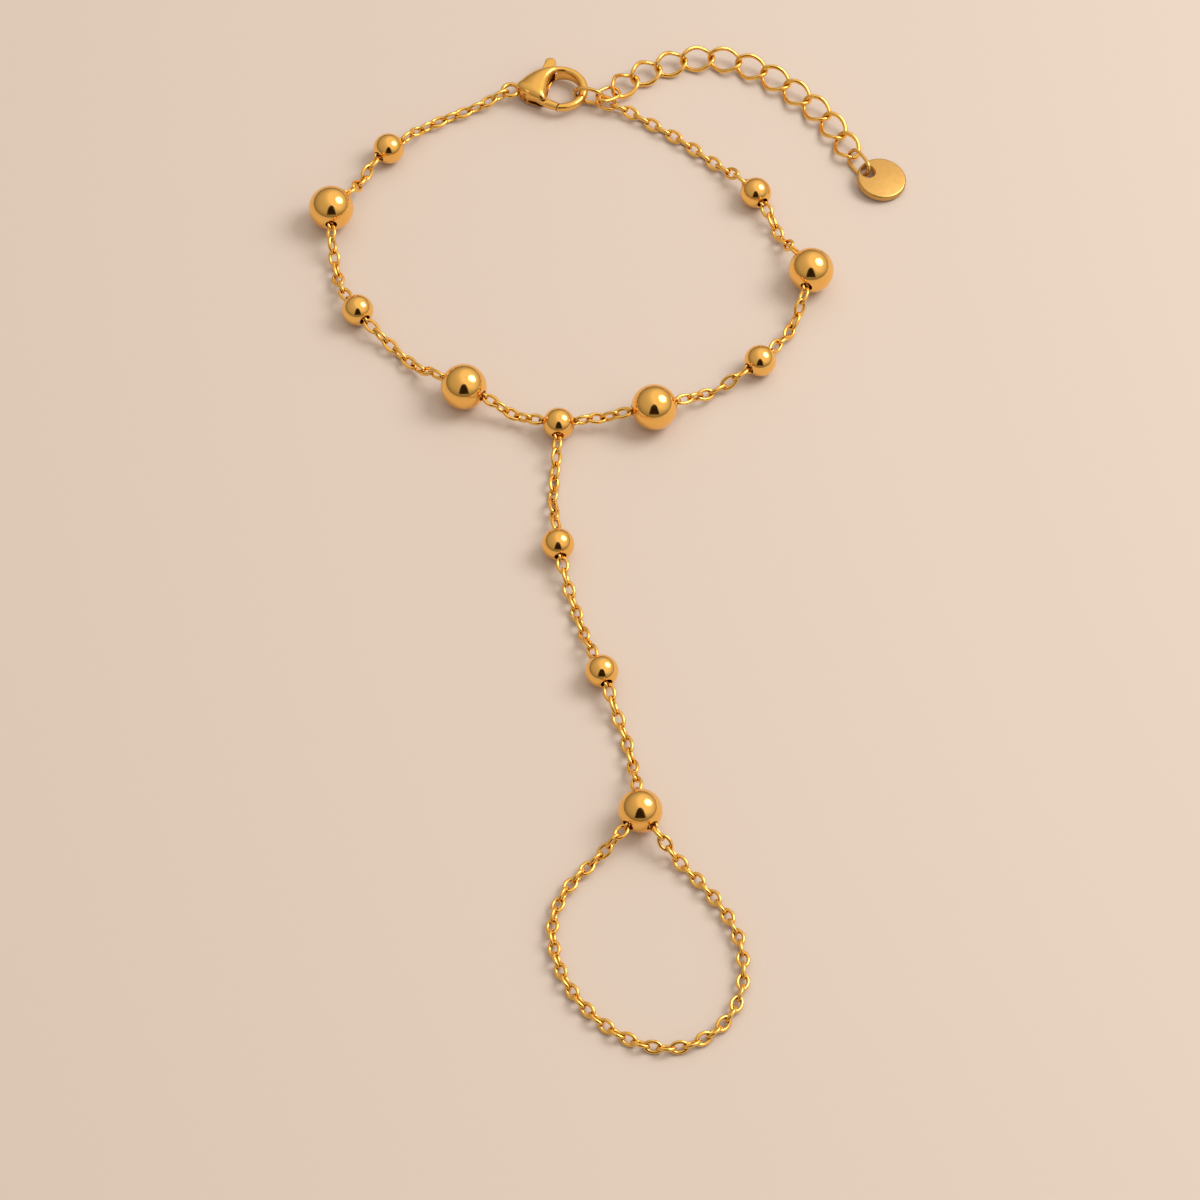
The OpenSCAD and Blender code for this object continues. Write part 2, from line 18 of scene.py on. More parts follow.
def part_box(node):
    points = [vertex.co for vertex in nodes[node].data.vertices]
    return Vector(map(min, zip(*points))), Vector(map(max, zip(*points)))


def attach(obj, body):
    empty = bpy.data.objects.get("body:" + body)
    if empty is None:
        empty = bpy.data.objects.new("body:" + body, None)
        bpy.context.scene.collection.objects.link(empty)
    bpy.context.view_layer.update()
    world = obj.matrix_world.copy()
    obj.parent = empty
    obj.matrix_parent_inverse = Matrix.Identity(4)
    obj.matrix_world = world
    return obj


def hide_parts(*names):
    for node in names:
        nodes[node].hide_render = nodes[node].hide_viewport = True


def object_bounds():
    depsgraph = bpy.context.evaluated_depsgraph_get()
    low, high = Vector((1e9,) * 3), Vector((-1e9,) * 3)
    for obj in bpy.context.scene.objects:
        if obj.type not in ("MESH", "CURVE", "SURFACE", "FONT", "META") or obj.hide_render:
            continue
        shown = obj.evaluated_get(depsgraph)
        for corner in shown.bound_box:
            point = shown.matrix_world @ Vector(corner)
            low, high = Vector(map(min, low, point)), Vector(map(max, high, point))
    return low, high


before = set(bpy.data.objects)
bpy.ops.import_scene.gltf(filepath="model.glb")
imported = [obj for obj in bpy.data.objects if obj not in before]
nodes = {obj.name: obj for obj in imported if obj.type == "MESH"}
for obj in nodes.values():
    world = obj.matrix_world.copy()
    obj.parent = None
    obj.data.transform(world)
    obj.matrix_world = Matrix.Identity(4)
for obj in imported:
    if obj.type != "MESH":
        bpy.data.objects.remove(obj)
cad_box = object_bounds()
print("CAD box", cad_box, "nodes", len(nodes))

MM = 0.001
MERGE = 0.0005 * MM  # points nearer than this are one point

# %% [markdown]
# ## The gold
#
# All the metal is polished gold plate. A real polished surface is never one flat value: it has a
# faint colour drift, hairline scratches from wear, and a slight haze that comes and goes. These
# three effects serve every finish here, so they are one node group with named inputs. The group
# puts out a colour, a roughness and a normal, and each material keeps its own Principled shader.

# %% Small helpers for node trees


def add(tree, kind, **settings):
    node = tree.nodes.new(kind)
    for key, value in settings.items():
        setattr(node, key, value)
    return node


def noise(tree, vector, scale, detail, rough=0.5):
    node = add(tree, "ShaderNodeTexNoise")
    node.inputs["Scale"].default_value = scale
    node.inputs["Detail"].default_value = detail
    node.inputs["Roughness"].default_value = rough
    tree.links.new(vector, node.inputs["Vector"])
    return node.outputs["Fac"]


def remap(tree, value, low, high, to_low, to_high):
    node = add(tree, "ShaderNodeMapRange")
    for name, number in (("From Min", low), ("From Max", high),
                         ("To Min", to_low), ("To Max", to_high)):
        node.inputs[name].default_value = number
    tree.links.new(value, node.inputs["Value"])
    return node.outputs["Result"]


def stretched(tree, coordinate, turn, stretch):
    node = add(tree, "ShaderNodeMapping")
    node.inputs["Rotation"].default_value = turn
    node.inputs["Scale"].default_value = stretch
    tree.links.new(coordinate, node.inputs["Vector"])
    return node.outputs["Vector"]


def math_node(tree, operation, a, b):
    node = add(tree, "ShaderNodeMath", operation=operation)
    for socket, value in zip(node.inputs, (a, b)):
        if isinstance(value, (int, float)):
            socket.default_value = value
        else:
            tree.links.new(value, socket)
    return node.outputs[0]


# %% [markdown]
# The wear is noise on the piece's own coordinates, so it stays put when the piece moves. Broad
# noise drifts the colour, fine noise gives the haze, and noise drawn out along one direction and
# cut down to its peaks gives the hairlines.

# %% Build the shared wear group
BROAD_SCALE, FINE_SCALE, DENT_SCALE = 260, 2400, 900
HAIRLINES = (((0.3, 0.2, 0.5), (14000, 500, 700)), ((0.1, 0.4, -0.7), (600, 16000, 500)))
HAIRLINE_ROUGHNESS, HAIRLINE_DEPTH = 0.12, 0.25
WEAR_DEPTH = 0.02 * MM


def wear_group():
    group = bpy.data.node_groups.new("polished_metal_wear", "ShaderNodeTree")
    for name, kind, value in (
        ("Colour", "NodeSocketColor", (1, 0.7, 0.3, 1)),
        ("Deep Colour", "NodeSocketColor", (0.9, 0.5, 0.15, 1)),
        ("Drift", "NodeSocketFloat", 0.3),
        ("Roughness", "NodeSocketFloat", 0.1),
        ("Haze", "NodeSocketFloat", 0.1),
        ("Scratches", "NodeSocketFloat", 0.3),
        ("Dents", "NodeSocketFloat", 0.2),
    ):
        socket = group.interface.new_socket(name=name, in_out="INPUT", socket_type=kind)
        socket.default_value = value
    for name, kind in (("Colour", "NodeSocketColor"), ("Roughness", "NodeSocketFloat"),
                       ("Normal", "NodeSocketVector")):
        group.interface.new_socket(name=name, in_out="OUTPUT", socket_type=kind)
    into = add(group, "NodeGroupInput").outputs
    out = add(group, "NodeGroupOutput").inputs
    place = add(group, "ShaderNodeTexCoord").outputs["Object"]

    # Broad drift of colour and haze, a few millimetres across
    broad = noise(group, place, BROAD_SCALE, 3)
    fine = noise(group, place, FINE_SCALE, 4, 0.6)
    blend = add(group, "ShaderNodeMix", data_type="RGBA")
    patches = remap(group, broad, 0.35, 0.65, 0.0, 1.0)
    amount = math_node(group, "MULTIPLY", patches, into["Drift"])
    group.links.new(amount, blend.inputs[0])
    group.links.new(into["Colour"], blend.inputs[6])
    group.links.new(into["Deep Colour"], blend.inputs[7])
    group.links.new(blend.outputs[2], out["Colour"])

    # Hairline scratches: noise drawn out along two directions, cut to thin lines
    lines = None
    for turn, stretch in HAIRLINES:
        value = noise(group, stretched(group, place, turn, stretch), 1, 1)
        value = remap(group, value, 0.60, 0.72, 0.0, 1.0)
        lines = value if lines is None else math_node(group, "MAXIMUM", lines, value)
    sparse = remap(group, fine, 0.45, 0.6, 0.0, 1.0)
    lines = math_node(group, "MULTIPLY", lines, sparse)
    lines = math_node(group, "MULTIPLY", lines, into["Scratches"])

    haze = math_node(group, "MULTIPLY", remap(group, fine, 0.3, 0.7, 0.0, 1.0), into["Haze"])
    rough = math_node(group, "ADD", into["Roughness"], haze)
    duller = math_node(group, "MULTIPLY", lines, HAIRLINE_ROUGHNESS)
    rough = math_node(group, "ADD", rough, duller)
    group.links.new(rough, out["Roughness"])

    dents = math_node(group, "MULTIPLY", noise(group, place, DENT_SCALE, 2), into["Dents"])
    grooves = math_node(group, "MULTIPLY", lines, HAIRLINE_DEPTH)
    height = math_node(group, "SUBTRACT", dents, grooves)
    bump = add(group, "ShaderNodeBump")
    bump.inputs["Strength"].default_value = 1.0
    bump.inputs["Distance"].default_value = WEAR_DEPTH
    group.links.new(height, bump.inputs["Height"])
    group.links.new(bump.outputs["Normal"], out["Normal"])
    return group


WEAR = wear_group()
print("wear group", WEAR.name, "with", len(WEAR.nodes), "nodes")

# %% [markdown]
# Where wires lie close together the plate is painted darker. This is painted shade, as little
# light gets in there. Ambient occlusion finds those places, and the colour there goes over to dark
# brown.
# Balls are the brightest finish, the wire is a little duller, and the tag is brushed.

# %% Mix each finish
# Painted shade: the dark brown colour that creases between close wires turn to
CREASE_SHADE = (0.34, 0.13, 0.02)
CREASE_SHADE_REACH = 0.4 * MM
CREASE_SHADE_FULL, CREASE_SHADE_NONE = 0.25, 0.80  # shares of open sky
COLOUR_DRIFT = 0.35


def metal(name, colour, deep, roughness, haze, scratches, dents):
    material = bpy.data.materials.new(name)
    material.use_nodes = True
    tree = material.node_tree
    shader = tree.nodes["Principled BSDF"]
    shader.inputs["Metallic"].default_value = 1.0
    wear = add(tree, "ShaderNodeGroup", node_tree=WEAR)
    for key, value in (("Roughness", roughness), ("Haze", haze), ("Scratches", scratches),
                       ("Dents", dents), ("Drift", COLOUR_DRIFT)):
        wear.inputs[key].default_value = value
    wear.inputs["Colour"].default_value = (*colour, 1)
    wear.inputs["Deep Colour"].default_value = (*deep, 1)
    for key in ("Roughness", "Normal"):
        tree.links.new(wear.outputs[key], shader.inputs[key])

    # Painted shade: ambient occlusion turns the base colour dark brown where wires lie close
    # together
    tight = add(tree, "ShaderNodeAmbientOcclusion", samples=6)
    tight.inputs["Distance"].default_value = CREASE_SHADE_REACH
    unshaded = remap(tree, tight.outputs["AO"], CREASE_SHADE_FULL, CREASE_SHADE_NONE, 0.0, 1.0)
    blend = add(tree, "ShaderNodeMix", data_type="RGBA")
    tree.links.new(unshaded, blend.inputs[0])
    blend.inputs[6].default_value = (*CREASE_SHADE, 1)
    tree.links.new(wear.outputs["Colour"], blend.inputs[7])
    tree.links.new(blend.outputs[2], shader.inputs["Base Color"])
    return material


GOLD = (1.0, 0.59, 0.16)
DEEP_GOLD = (0.96, 0.52, 0.12)
ball_gold = metal("ball_gold", GOLD, DEEP_GOLD,
                  roughness=0.10, haze=0.04, scratches=0.15, dents=0.05)
chain_gold = metal("chain_gold", (1.0, 0.61, 0.15), (0.97, 0.55, 0.11),
                   roughness=0.16, haze=0.06, scratches=0.25, dents=0.10)
clasp_gold = metal("clasp_gold", (0.91, 0.54, 0.14), (0.88, 0.51, 0.11),
                   roughness=0.17, haze=0.05, scratches=0.25, dents=0.06)
tag_gold = metal("tag_gold", (0.66, 0.40, 0.13), (0.62, 0.36, 0.10),
                 roughness=0.30, haze=0.10, scratches=0.60, dents=0.20)
pin_gold = metal("pin_gold", GOLD, DEEP_GOLD,
                 roughness=0.20, haze=0.05, scratches=0.20, dents=0.20)
print("finishes", [m.name for m in bpy.data.materials if m.name.endswith("_gold")])

# %% [markdown]
# ## From a bmesh to a piece
#
# Every piece ends the same way: doubles are merged, faces are turned outwards, the mesh is shaded
# smooth with its hard edges kept sharp, and the piece rides on a CAD body, stands for its CAD
# node and is given its finish as its material.

# %% Finish a piece


def smooth_shade(mesh, sharp):
    """Smooth everywhere but at edges that turn by more than sharp degrees."""
    for polygon in mesh.polygons:
        polygon.use_smooth = True
    mesh.set_sharp_from_angle(angle=radians(sharp))


def to_mesh(bm, name, sharp=40):
    bmesh.ops.remove_doubles(bm, verts=bm.verts, dist=MERGE)
    bmesh.ops.recalc_face_normals(bm, faces=bm.faces)
    mesh = bpy.data.meshes.new(name)
    bm.to_mesh(mesh)
    bm.free()
    smooth_shade(mesh, sharp)
    return mesh


def to_piece(mesh, name, node, material, body="bracelet"):
    piece = bpy.data.objects.new(name, mesh)
    bpy.context.scene.collection.objects.link(piece)
    mesh.materials.clear()
    mesh.materials.append(material)
    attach(piece, body)
    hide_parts(node)
    return piece


# %% [markdown]
# ## Where each link lies
#
# A CAD chain is one node that holds many loose links. Each link is an island of its mesh. The
# spread of an island's area about its middle gives three directions: the longest runs along the
# link, the shortest stands across its plane. That frame is all a better link needs to take its
# place.

# %% Find the frame of every island


def islands(node):
    bm = bmesh.new()
    bm.from_mesh(nodes[node].data)
    bmesh.ops.transform(bm, matrix=nodes[node].matrix_world, verts=bm.verts)
    bmesh.ops.remove_doubles(bm, verts=bm.verts, dist=MERGE)
    seen, groups = set(), []
    for face in bm.faces:
        if face.index in seen:
            continue
        seen.add(face.index)
        group, waiting = [], [face]
        while waiting:
            here = waiting.pop()
            group.append(here)
            for edge in here.edges:
                for other in edge.link_faces:
                    if other.index not in seen:
                        seen.add(other.index)
                        waiting.append(other)
        groups.append(group)
    result = [island_frame(group) for group in groups]
    bm.free()
    return result


def island_frame(faces):
    area = np.array([f.calc_area() for f in faces])
    middle = np.array([f.calc_center_median()[:] for f in faces])
    centre = (area[:, None] * middle).sum(0) / area.sum()
    around = middle - centre
    spread = (area[:, None] * around).T @ around
    axes = np.linalg.eigh(spread)[1][:, ::-1]
    if np.linalg.det(axes) < 0:
        axes[:, 2] *= -1
    corners = np.array([v.co[:] for f in faces for v in f.verts])
    along = (corners - centre) @ axes
    low, high = along.min(0), along.max(0)
    centre = centre + axes @ ((low + high) / 2)
    turn = Matrix(axes.tolist()).to_4x4()
    return Matrix.Translation(Vector(centre)) @ turn, high - low, axes


CHAINS = sorted(n for n in nodes if "_chain" in n)
print("chains", CHAINS)

# %% [markdown]
# ## One oval link
#
# A link is round wire bent to an oval of four arcs: two tight ones at the ends and two wide ones
# along the sides. Spinning the wire's circle about each arc's own centre keeps the wire exactly
# round, which a stretched torus would not do.

# %% Bend a wire to an oval


def oval_link(length, width, wire, end_share, wire_sides=12, steps=(9, 5)):
    """Oval of four arcs, flat in xy. Length and width are over the wire.

    The end arcs turn about (+-end_x, 0) and the side arcs about (0, +-side_y).
    """
    half, side = (length - wire) / 2, (width - wire) / 2
    end_r = end_share * side
    across = side - end_r
    end_x = half - end_r
    side_y = (end_x * end_x - across * across) / (2 * across)
    open_angle = atan2(side_y, end_x)
    bm = bmesh.new()
    bmesh.ops.create_circle(bm, segments=wire_sides, radius=wire / 2, cap_ends=False)
    bmesh.ops.rotate(bm, verts=bm.verts, cent=(0, 0, 0), matrix=Matrix.Rotation(pi / 2, 3, "Y"))
    bmesh.ops.translate(bm, verts=bm.verts, vec=(0, side, 0))
    moving = list(bm.verts) + list(bm.edges)
    wide, narrow = 2 * open_angle, pi / 2 - open_angle
    end_steps, side_steps = steps
    arcs = [((0, -side_y), narrow, side_steps), ((-end_x, 0), wide, 2 * end_steps),
            ((0, side_y), 2 * narrow, 2 * side_steps), ((end_x, 0), wide, 2 * end_steps),
            ((0, -side_y), narrow, side_steps)]
    for (x, y), angle, count in arcs:
        moving = bmesh.ops.spin(bm, geom=moving, cent=(x, y, 0), axis=(0, 0, 1), angle=angle,
                                steps=count, use_merge=False)["geom_last"]
    return bm


def chain_mesh(name, frames, make):
    """All links of a run: for each frame one link is made to its size and laid in it."""
    bm = bmesh.new()
    for matrix, size, _ in frames:
        link = to_mesh(make(size), "link")
        before = len(bm.verts)
        bm.from_mesh(link)
        bm.verts.ensure_lookup_table()
        bmesh.ops.transform(bm, matrix=matrix, verts=bm.verts[before:])
        bpy.data.meshes.remove(link)
    print(name, len(frames), "links,", len(bm.faces), "faces")
    return to_mesh(bm, name, 80)


# %% [markdown]
# The fine links of the wrist, hand and finger runs are all this oval. Its wire is a little fuller
# than the CAD link's, as round wire looks once it is bent and soldered.

# %% Link up the fine runs
END_SHARE = 0.70  # radius of an end arc, as a share of half the width
FULLER = 0.07 * MM


def fine_link(size):
    return oval_link(size[0], size[1], size[2] + FULLER, END_SHARE)


for node in CHAINS:
    if node != "extender_chain":
        mesh = chain_mesh(node + "_links", islands(node), fine_link)
        to_piece(mesh, node + "_links", node, chain_gold)

# %% [markdown]
# ## The curb links of the extender
#
# A curb link starts as the same oval and is then twisted, so that each link lies nearly flat in
# the next. Turning every point about the long axis in proportion to how far along it lies gives
# the twist.

# %% Twist the curb links
CURB_WIRE = 0.54 * MM
CURB_TWIST = radians(-37)  # from the link's middle to its end
CURB_LONGER, CURB_SLIMMER = 0.02 * MM, 0.12 * MM
CURB_END_SHARE = 0.78


def curb_link(size):
    bm = oval_link(size[0] + CURB_LONGER, size[1] - CURB_SLIMMER, CURB_WIRE, CURB_END_SHARE,
                   wire_sides=14, steps=(12, 6))
    half = (size[0] - CURB_WIRE) / 2
    for vert in bm.verts:
        vert.co = Matrix.Rotation(CURB_TWIST * vert.co.x / half, 3, "X") @ vert.co
    return bm


mesh = chain_mesh("extender_links", islands("extender_chain"), curb_link)
to_piece(mesh, "extender_links", "extender_chain", chain_gold)

# %% [markdown]
# ## Rings
#
# Four plain wire rings join the clasp, the wrist loop, the extender and the tag. They are the
# same kind of oval, only rounder and of their own wire.

# %% Place the rings
RING_END_SHARE = 0.93


def wire_ring(size):
    return oval_link(*size, RING_END_SHARE, wire_sides=16, steps=(14, 4))


for node in ("end_ring", "chain_ring", "extender_ring", "tag_ring"):
    mesh = chain_mesh(node + "_wire", islands(node), wire_ring)
    to_piece(mesh, node + "_wire", node, clasp_gold)

# %% [markdown]
# ## Cutting into a polished form
#
# A drilled ball or a slotted clasp is a smooth form less a cutter. The cutter and the form become
# two objects for a moment, the Boolean modifier works out what is left, and only the mesh of the
# result is kept.

# %% Cut one form with others


def as_object(mesh):
    thing = bpy.data.objects.new(mesh.name, mesh)
    bpy.context.scene.collection.objects.link(thing)
    return thing


def combine(base, cutters, operation="DIFFERENCE"):
    """Boolean of meshes; the result is a new mesh."""
    thing = as_object(base)
    tools = [as_object(c) for c in cutters]
    for tool in tools:
        modifier = thing.modifiers.new("cut", "BOOLEAN")
        modifier.operation = operation
        modifier.solver = "EXACT"
        modifier.object = tool
    graph = bpy.context.evaluated_depsgraph_get()
    graph.update()
    result = bpy.data.meshes.new_from_object(thing.evaluated_get(graph))
    for leftover in [thing] + tools:
        bpy.data.objects.remove(leftover)
    return result


# %% [markdown]
# Boolean leaves long thin faces beside the cut, and a mirror finish shows every one of them. So
# the uncut form is kept at hand, and every corner of a face that still lies on it takes its
# normal from it. The cut itself keeps its own normals.

# %% Keep the form's shine
NEAR_FORM = 0.0015 * MM
SAME_WAY = 0.9  # cosine between the normals of a face and of the form under it


def keep_shine(mesh, form, sharp=30):
    """Corners of mesh whose face lies on form take form's smooth normals."""
    smooth_shade(mesh, sharp)
    tree = BVHTree.FromPolygons([v.co for v in form.vertices], [p.vertices for p in form.polygons])
    form_normals = [v.normal.copy() for v in form.vertices]
    normals = [n.vector.copy() for n in mesh.corner_normals]

    def smooth_normal(point):
        _, _, index, _ = tree.find_nearest(point)
        total = Vector()
        for corner in form.polygons[index].vertices:
            total += form_normals[corner] / (1e-9 + (form.vertices[corner].co - point).length)
        return total.normalized()

    kept = 0
    for polygon in mesh.polygons:
        _, normal, _, distance = tree.find_nearest(polygon.center)
        if distance < NEAR_FORM and normal.dot(polygon.normal) > SAME_WAY:
            kept += 1
            for loop in polygon.loop_indices:
                normals[loop] = smooth_normal(mesh.vertices[mesh.loops[loop].vertex_index].co)
    mesh.normals_split_custom_set(normals)
    print(mesh.name, kept, "of", len(mesh.polygons), "faces keep the form's normals")


# %% [markdown]
# ## The balls
#
# Each ball is a polished sphere, drilled from two sides, and from three where the hand chain and
# the finger loop branch off. The drill leaves a small countersink at each mouth, which catches a
# bright line of light. The drill is a profile spun about its axis, as on a lathe, and so are the
# disc of the tag and the punch for its hole.

# %% Turn a profile on a lathe


def turned(points, axis, steps):
    """A bmesh of the open profile, spun once round the axis."""
    bm = bmesh.new()
    verts = [bm.verts.new(point) for point in points]
    for one, two in zip(verts, verts[1:]):
        bm.edges.new((one, two))
    bmesh.ops.spin(bm, geom=list(bm.verts) + list(bm.edges), cent=(0, 0, 0), axis=axis,
                   angle=2 * pi, steps=steps, use_merge=True)
    return bm


BORE_R = 0.65 * MM
COUNTERSINK = 0.09 * MM
PAST_MIDDLE, PAST_MOUTH = 0.3 * MM, 1.5 * MM


def drill(radius, heading):
    """Cutter for one bore, with a small countersink where it leaves the ball."""
    mouth = sqrt(radius * radius - BORE_R * BORE_R)
    flare, wide = COUNTERSINK, BORE_R + 1.6 * COUNTERSINK
    profile = [(-PAST_MIDDLE, 0), (-PAST_MIDDLE, BORE_R), (mouth - 1.6 * flare, BORE_R),
               (mouth - 0.7 * flare, BORE_R + 0.25 * flare), (mouth + flare, wide),
               (mouth + PAST_MOUTH, wide), (mouth + PAST_MOUTH, 0)]
    bm = turned([(x, y, 0) for x, y in profile], (1, 0, 0), 32)
    bmesh.ops.rotate(bm, verts=bm.verts, cent=(0, 0, 0), matrix=Matrix.Rotation(heading, 3, "Z"))
    return to_mesh(bm, "drill")


# %% [markdown]
# Each ball takes its size and middle from its CAD box. The headings of its bores, in degrees from
# the x axis, are those of the chains that leave it.

# %% Drill the balls
HEADINGS = {
    "wrist_1": (228, 38), "wrist_2": (272, 50), "wrist_3": (302, 125), "wrist_4": (329, 150),
    "junction": (166, 12, 267), "wrist_5": (18, 192), "wrist_6": (48, 221), "wrist_7": (121, 256),
    "wrist_8": (128, 297), "hand_1": (94, 280), "hand_2": (112, 288), "finger": (96, 234, 304),
}
for name, headings in HEADINGS.items():
    low, high = (Vector(corner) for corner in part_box("bead_" + name))
    radius = (high.z - low.z) / 2
    centre = (low + high) / 2
    bm = bmesh.new()
    bmesh.ops.create_uvsphere(bm, u_segments=96, v_segments=48, radius=radius)
    form = to_mesh(bm, "ball_form", 180)
    cutters = [drill(radius, radians(heading)) for heading in headings]
    mesh = combine(form.copy(), cutters)
    keep_shine(mesh, form)
    mesh.transform(Matrix.Translation(centre))
    mesh.name = "ball_" + name
    to_piece(mesh, "ball_" + name, "bead_" + name, ball_gold)

# %% [markdown]
# ## The tag
#
# The tag is a round disc stamped from sheet, so its edge is rounded over and its face is brushed.
# It leans on its own ring, so its place and tilt are read from the CAD disc. A hole takes area
# away on its own side, so the middle of the flat faces lies opposite to it.

# %% Read where the tag lies
_, size, axes = islands("tag")[0]
tag_r, tag_t = size[0] / 2, size[2]
normal = Vector(axes[:, 2])
if normal.z < 0:
    normal = -normal
low, high = (Vector(corner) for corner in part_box("tag"))
tag_c = (low + high) / 2
face_area, face_middle = 0, Vector()
placed = nodes["tag"].matrix_world
for polygon in nodes["tag"].data.polygons:
    if abs((placed.to_3x3() @ polygon.normal).normalized().dot(normal)) > 0.99:
        face_area += polygon.area
        face_middle += polygon.area * (placed @ polygon.center)
hole_way = tag_c - face_middle / face_area
hole_way = (hole_way - hole_way.dot(normal) * normal).normalized()
lie = Matrix((hole_way, normal.cross(hole_way), normal)).transposed().to_4x4()
print("tag radius", tag_r, "thickness", tag_t)

# %% [markdown]
# The rounded edge is two quarter turns of a small radius, and the punch has the same soft flare at
# both faces that a tumbled disc has round its hole.

# %% Stamp the tag
TAG_EDGE, EDGE_STEPS = 0.24 * MM, 6
TAG_MARGIN = 0.3 * MM
TAG_HOLE_R, TAG_FLARE = 0.85 * MM, 0.12 * MM

quarter = [k * pi / 2 / EDGE_STEPS for k in range(EDGE_STEPS + 1)]
edge_x, edge_z = tag_r - TAG_EDGE, tag_t / 2 - TAG_EDGE
profile = [(0, -tag_t / 2)]
profile += [(edge_x + TAG_EDGE * sin(a), -edge_z - TAG_EDGE * cos(a)) for a in quarter]
profile += [(edge_x + TAG_EDGE * cos(a), edge_z + TAG_EDGE * sin(a)) for a in quarter]
profile += [(0, tag_t / 2)]
form = to_mesh(turned([(x, 0, z) for x, z in profile], (0, 0, 1), 128), "disc", 60)

mouth_r = TAG_HOLE_R + TAG_FLARE
profile = [(0, -tag_t), (mouth_r, -tag_t), (mouth_r, -tag_t / 2),
           (TAG_HOLE_R, -tag_t / 2 + TAG_FLARE), (TAG_HOLE_R, tag_t / 2 - TAG_FLARE),
           (mouth_r, tag_t / 2), (mouth_r, tag_t), (0, tag_t)]
bm = turned([(x, 0, z) for x, z in profile], (0, 0, 1), 48)
bmesh.ops.translate(bm, verts=bm.verts, vec=(tag_r - TAG_MARGIN - TAG_HOLE_R, 0, 0))
punch = to_mesh(bm, "punch")
mesh = combine(form.copy(), [punch])
keep_shine(mesh, form)
mesh.transform(Matrix.Translation(tag_c) @ lie)
to_piece(mesh, "round_tag", "tag", tag_gold)

# %% [markdown]
# ## The clasp body
#
# The clasp is cast in one: a flat drop with a hooked ring, both parts rounded like a polished
# pebble. Its section changes all the way round, so a grid is laid over the form: one direction
# runs round the section, the other from the hook's tip along the ring and down the drop to the
# eye. The same sections shape the CAD body.

# %% Note the sections of the clasp
HOOK_R = 2.8 * MM  # all outlines below are shares of it, from the hook's middle
CLASP_T = 2.9 * MM
PIVOT = (-1.43, -0.32)
low, high = (Vector(corner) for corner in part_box("clasp_rivet"))
clasp_o = (low + high) / 2 - Vector((*PIVOT, 0)) * HOOK_R
print("clasp centre", clasp_o)

# Angle round the hook, then the section's width across it and its thickness through it
HOOK_ACROSS = ((-95, 0.339), (-45, 0.357), (0, 0.41), (45, 0.39), (90, 0.37))
HOOK_THROUGH = ((-95, 0.328), (-45, 0.362), (0, 0.45), (45, 0.586), (90, 0.72))
# The drop, from the ring to the eye: outer point, inner point, thickness
BACK = (
    ((-0.4, 1.15), (-0.27, 0.76), 0.81), ((-0.86, 1.07), (-0.47, 0.41), 0.91),
    ((-1.25, 0.9), (-0.54, 0.04), 0.97), ((-1.57, 0.66), (-0.6, -0.41), 1.0),
    ((-1.78, 0.46), (-0.69, -0.82), 0.97), ((-1.87, 0.36), (-1.29, -0.62), 0.88),
    ((-1.93, 0.22), (-1.7, -0.33), 0.74), ((-1.95, 0.11), (-1.91, -0.13), 0.5),
)
TIP_OUTER, TIP_INNER = (-0.196, -1.168), (-0.018, -0.843)


def table(values, angle):
    return float(np.interp(angle, [v[0] for v in values], [v[1] for v in values]))


sections = [(*TIP_OUTER, *TIP_INNER, HOOK_THROUGH[0][1])]  # the hook's tip
for angle in range(-82, 88, 13):
    w, t = table(HOOK_ACROSS, angle) / 2, table(HOOK_THROUGH, angle)
    c, s = cos(radians(angle)), sin(radians(angle))
    sections.append(((1 + w) * c, (1 + w) * s, (1 - w) * c, (1 - w) * s, t))
sections += [(*outer, *inner, t) for outer, inner, t in BACK]
sections = np.array(sections)
print("clasp sections", len(sections))

# %% [markdown]
# A smooth curve through the sections fills in between them. Round each section the grid follows a
# slightly squared oval, as a cast and tumbled clasp has.

# %% Lay a grid over the clasp
ROUND_STEPS, LONG_STEPS = 40, 4 * (len(sections) - 1)
SQUARE_ACROSS, SQUARE_THROUGH = 0.88, 0.84  # 1 is a plain oval


def between(rows, at):
    """Smooth curve through the rows (Catmull-Rom), at 0 .. len(rows) - 1."""
    k = min(int(at), len(rows) - 2)
    t = at - k
    p = [rows[min(max(k + i, 0), len(rows) - 1)] for i in (-1, 0, 1, 2)]
    return 0.5 * (2 * p[1] + (p[2] - p[0]) * t + (2 * p[0] - 5 * p[1] + 4 * p[2] - p[3]) * t * t
                  + (3 * p[1] - p[0] - 3 * p[2] + p[3]) * t ** 3)


def power(value, exponent):
    return abs(value) ** exponent * (1 if value > 0 else -1)


bm = bmesh.new()
bmesh.ops.create_grid(bm, x_segments=ROUND_STEPS, y_segments=LONG_STEPS, size=0.5)
for vert in bm.verts:
    u, v = vert.co.x + 0.5, vert.co.y + 0.5
    row = between(sections, v * (len(sections) - 1))
    outer, inner = Vector(row[0:2]), Vector(row[2:4])
    mid, half = (outer + inner) / 2, (outer - inner) / 2
    across = power(cos(2 * pi * u), SQUARE_ACROSS)
    through = power(sin(2 * pi * u), SQUARE_THROUGH)
    flat = (mid + half * across) * HOOK_R
    vert.co = (flat.x, flat.y, -through * row[4] * CLASP_T / 2)
bmesh.ops.remove_doubles(bm, verts=bm.verts, dist=2 * MERGE)
bmesh.ops.holes_fill(bm, edges=[e for e in bm.edges if e.is_boundary], sides=0)
form = to_mesh(bm, "clasp_form", 50)
print("clasp form", len(form.polygons), "faces")

# %% [markdown]
# Flat parts of the clasp are cut from plate: an outline is filled, drawn up to its thickness, and
# its hard edges are rounded over with a bevel.

# %% Cut plates with rounded edges
HARD_EDGE = radians(40)


def round_edges(bm, rounding):
    edges = [e for e in bm.edges if abs(e.calc_face_angle(0)) > HARD_EDGE]
    bmesh.ops.bevel(bm, geom=edges, offset=rounding, affect="EDGES", segments=3, profile=0.5,
                    material=-1)


